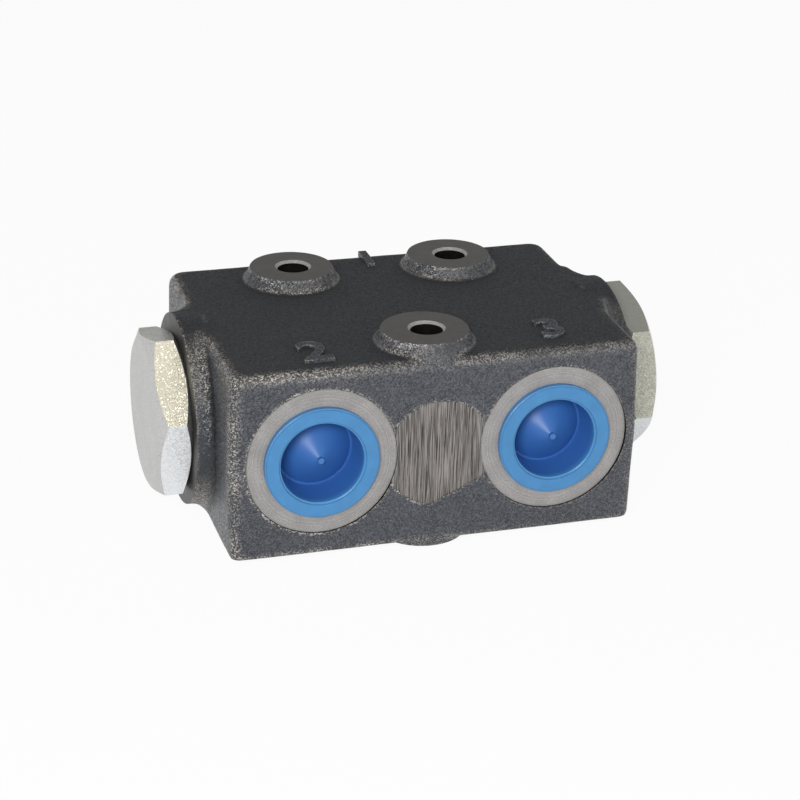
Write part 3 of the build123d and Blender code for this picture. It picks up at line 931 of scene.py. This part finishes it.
class FLOWDIVIDER_OT_casting(bpy.types.Operator):
    """Make the cast and machined body"""

    bl_idname = "flowdivider.casting"
    bl_label = "Cast Body"

    def execute(self, context):
        sizes = context.scene.flow_divider_casting
        cuts = context.scene.flow_divider_machining
        colours = context.scene.flow_divider_colours
        casting = rough_casting(sizes, cuts)
        front_ports = ((PORT_PITCH / 2,), None, PORT_HEIGHT)
        finishes = [
            cast_skin("cast_skin", colours, BODY_PAINTED_TOP_SHADE),
            milled_face(colours),
            turned_face("turned_ends", colours.milled_iron, (None, BORE_AXIS.y, BORE_AXIS.z), END_PITCH),
            turned_face("front_spotfaces", colours.cut_iron, front_ports, SPOT_PITCH),
            turned_face("rear_spotface", colours.cut_iron, (0.0, None, PORT_HEIGHT), SPOT_PITCH),
            ground_face(colours),
            bored_iron(colours),
        ]
        cutters = facing_cutter()
        cutters += [bore_cutter(cuts), port_cutter(cuts), screw_hole_cutter(cuts), patch_cutter(cuts)]
        for piece in [casting] + cutters:
            for finish in finishes:
                piece.data.materials.append(finish)
        cut_away(casting, cutters)
        soften_edges(casting, BODY_SMOOTH)
        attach(casting, "housing")
        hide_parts("valve_body")
        return {"FINISHED"}


class FLOWDIVIDER_OT_numerals(bpy.types.Operator):
    """Make the plain raised numerals on the top"""

    bl_idname = "flowdivider.numerals"
    bl_label = "Raised Numerals"

    def execute(self, context):
        sizes = context.scene.flow_divider_casting
        top = BORE_AXIS.z - sizes.drop + sizes.block_height / 2
        skin = cast_skin("numeral_skin", context.scene.flow_divider_colours, NUMERAL_PAINTED_TOP_SHADE)
        for text, x, y, size in NUMERALS:
            curve = bpy.data.curves.new("numeral", "FONT")
            curve.body = text
            curve.size = size * MM
            curve.extrude = NUMERAL_HEIGHT
            curve.offset = NUMERAL_WEIGHT
            curve.align_x = "CENTER"
            curve.align_y = "CENTER"
            letter = bpy.data.objects.new("numeral_" + text, curve)
            context.scene.collection.objects.link(letter)
            context.view_layer.update()
            flat = bpy.data.meshes.new_from_object(letter.evaluated_get(context.evaluated_depsgraph_get()))
            bpy.data.objects.remove(letter)
            bm = bmesh.new()
            bm.from_mesh(flat)
            bmesh.ops.remove_doubles(bm, verts=bm.verts, dist=SMALL / 10)
            bmesh.ops.translate(bm, verts=bm.verts, vec=(x * MM, y * MM, top))
            piece = new_piece("numeral_" + text, bm)
            reskin(piece, NUMERAL_VOXEL, NUMERAL_SOFTENING)
            soften_edges(piece, NUMERAL_SMOOTH)
            piece.data.materials.append(skin)
            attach(piece, "housing")
        return {"FINISHED"}


class FLOWDIVIDER_OT_end_plugs(bpy.types.Operator):
    """Finish the hex plugs and their seals"""

    bl_idname = "flowdivider.end_plugs"
    bl_label = "End Plugs"

    def execute(self, context):
        colours = context.scene.flow_divider_colours
        rubber = seal_rubber(colours)
        zinc = zinc_plate(colours)
        for side in SIDES:
            paint_node(side + "_hex_plug", zinc)
            paint_node(side + "_plug_seal", rubber)
        return {"FINISHED"}


class FLOWDIVIDER_OT_port_plugs(bpy.types.Operator):
    """Finish the push-in port plugs"""

    bl_idname = "flowdivider.port_plugs"
    bl_label = "Port Plugs"

    def execute(self, context):
        plastic = port_plug_plastic(context.scene.flow_divider_colours)
        for node in ("left_port_plug", "right_port_plug", "rear_port_plug"):
            paint_node(node, plastic)
        return {"FINISHED"}


class FLOWDIVIDER_OT_spool_set(bpy.types.Operator):
    """Finish the spools, springs and links inside"""

    bl_idname = "flowdivider.spool_set"
    bl_label = "Spool Set"

    def execute(self, context):
        colours = context.scene.flow_divider_colours
        ground = plain_metal("ground_steel", colours.steel, 0.22)
        plain = plain_metal("plain_steel", toned(colours.steel, 0.8), 0.38)
        wire = plain_metal("spring_wire", colours.spring, 0.3)
        paint_node("spool_link", plain)
        for side in SIDES:
            for piece, finish in (
                ("spool", ground), ("orifice_disc", ground), ("disc_ring", wire), ("spring", wire),
                ("spring_shim", plain), ("link_pin", plain),
            ):
                paint_node(side + "_" + piece, finish)
            coil = bpy.data.objects.new(side + "_coil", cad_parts[side + "_spring"].data.copy())
            context.scene.collection.objects.link(coil)
            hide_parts(side + "_spring")
            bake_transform(coil)
        return {"FINISHED"}


def seen_directly(tree):
    """1 for what the camera sees, also in reflections and through glass, and 0 for light on a surface."""
    path = tree.nodes.new("ShaderNodeLightPath").outputs
    mirrored = calc(tree, "MAXIMUM", path["Is Glossy Ray"], path["Is Transmission Ray"])
    return calc(tree, "MAXIMUM", path["Is Camera Ray"], mirrored)


def stage_finish(name, tint, glow):
    """A pale floor that the camera and reflections see as nearly even white, and clear from below."""
    material, tree, shader, _ = new_finish(
        name, Base_Color=(*tint, 1.0), Roughness=0.9, Specular_IOR_Level=0.1
    )
    white = add(tree, "ShaderNodeEmission", {"Color": (1, 1, 1, 1), "Strength": 1.0})
    share = product(tree, seen_directly(tree), glow)
    above = add(tree, "ShaderNodeMixShader", {0: share, 1: shader.outputs[0], 2: white.outputs[0]})
    clear = tree.nodes.new("ShaderNodeBsdfTransparent")
    backing = tree.nodes.new("ShaderNodeNewGeometry").outputs["Backfacing"]
    surface = add(tree, "ShaderNodeMixShader", {0: backing, 1: above.outputs[0], 2: clear.outputs[0]})
    feed(tree, tree.nodes["Material Output"], {"Surface": surface.outputs[0]})
    return material


def aimed(place, target):
    """A matrix at a place, looking at the target."""
    way = (target - place).normalized()
    return Matrix.Translation(place) @ way.to_track_quat("-Z", "Y").to_matrix().to_4x4()


def around(target, azimuth, elevation, distance):
    """A place seen from the target at these degrees, azimuth 0 in front."""
    a = math.radians(azimuth)
    e = math.radians(elevation)
    way = Vector((math.sin(a) * math.cos(e), -math.cos(a) * math.cos(e), math.sin(e)))
    return target + way * distance


def add_lamp(name, place, target, size, power):
    """A square soft lamp."""
    lamp = bpy.data.lights.new(name, "AREA")
    lamp.size = size
    lamp.energy = power
    holder = bpy.data.objects.new(name, lamp)
    bpy.context.scene.collection.objects.link(holder)
    holder.matrix_world = aimed(place, target)


class FLOWDIVIDER_OT_stage(bpy.types.Operator):
    """Set up the floor, lamps, sky and camera"""

    bl_idname = "flowdivider.stage"
    bl_label = "Stage"

    def execute(self, context):
        scene = context.scene
        stage = scene.flow_divider_stage
        scene.view_settings.view_transform = "Standard"
        bm = bmesh.new()
        bmesh.ops.create_grid(bm, x_segments=1, y_segments=1, size=FLOOR_REACH)
        bmesh.ops.translate(bm, verts=bm.verts, vec=(0, 0, -SMALL))
        floor = new_piece("floor", bm)
        floor.data.materials.append(stage_finish("pale_floor", FLOOR_TINT, FLOOR_GLOW))

        world = bpy.data.worlds.new("studio")
        scene.world = world
        world.use_nodes = True
        tree = world.node_tree
        strength = ramp(tree, seen_directly(tree), 0.0, 1.0, stage.sky, 1.0)
        feed(tree, tree.nodes["Background"], {"Color": (1, 1, 1, 1), "Strength": strength})

        centre = Vector((0, 0, 30 * MM))
        powers = (stage.key_power, stage.fill_power)
        for (name, azimuth, elevation, distance, size), power in zip(LAMPS, powers):
            add_lamp(name, around(centre, azimuth, elevation, distance), centre, size, power)

        data = bpy.data.cameras.new("camera")
        data.lens = stage.lens
        data.sensor_width = 36.0
        camera = bpy.data.objects.new("camera", data)
        scene.collection.objects.link(camera)
        target = Vector(stage.target)
        turns = (math.degrees(stage.azimuth), math.degrees(stage.elevation))
        place = around(target, *turns, stage.distance)
        camera.matrix_world = aimed(place, target) @ Matrix.Rotation(stage.roll, 4, "Z")
        scene.camera = camera
        return {"FINISHED"}


OPERATORS = (
    FLOWDIVIDER_OT_casting, FLOWDIVIDER_OT_numerals, FLOWDIVIDER_OT_end_plugs, FLOWDIVIDER_OT_port_plugs,
    FLOWDIVIDER_OT_spool_set, FLOWDIVIDER_OT_stage,
)
SETTINGS = (
    ("flow_divider_casting", CastingSizes), ("flow_divider_machining", MachiningSizes),
    ("flow_divider_colours", FinishColours), ("flow_divider_stage", StageSettings),
)


class FLOWDIVIDER_PT_sidebar(bpy.types.Panel):
    """Sizes, colours and steps of the flow divider's finish"""

    bl_idname = "FLOWDIVIDER_PT_sidebar"
    bl_label = "Flow Divider"
    bl_space_type = "VIEW_3D"
    bl_region_type = "UI"
    bl_category = "Flow Divider"

    def draw(self, context):
        layout = self.layout
        for operator in OPERATORS:
            layout.operator(operator.bl_idname)
        for name, group in SETTINGS:
            box = layout.box()
            settings = getattr(context.scene, name)
            for key in group.__annotations__:
                box.prop(settings, key)


def register():
    """Adds the classes and the scene's settings."""
    for name, group in SETTINGS:
        bpy.utils.register_class(group)
        setattr(bpy.types.Scene, name, PointerProperty(type=group))
    for made in OPERATORS + (FLOWDIVIDER_PT_sidebar,):
        bpy.utils.register_class(made)


def unregister():
    """Takes them away again."""
    for made in (FLOWDIVIDER_PT_sidebar,) + OPERATORS:
        bpy.utils.unregister_class(made)
    for name, group in SETTINGS:
        delattr(bpy.types.Scene, name)
        bpy.utils.unregister_class(group)


def main():
    """Runs every step in order."""
    register()
    bpy.ops.flowdivider.casting()
    bpy.ops.flowdivider.numerals()
    bpy.ops.flowdivider.end_plugs()
    bpy.ops.flowdivider.port_plugs()
    bpy.ops.flowdivider.spool_set()
    bpy.ops.flowdivider.stage()


if __name__ == "__main__":
    main()
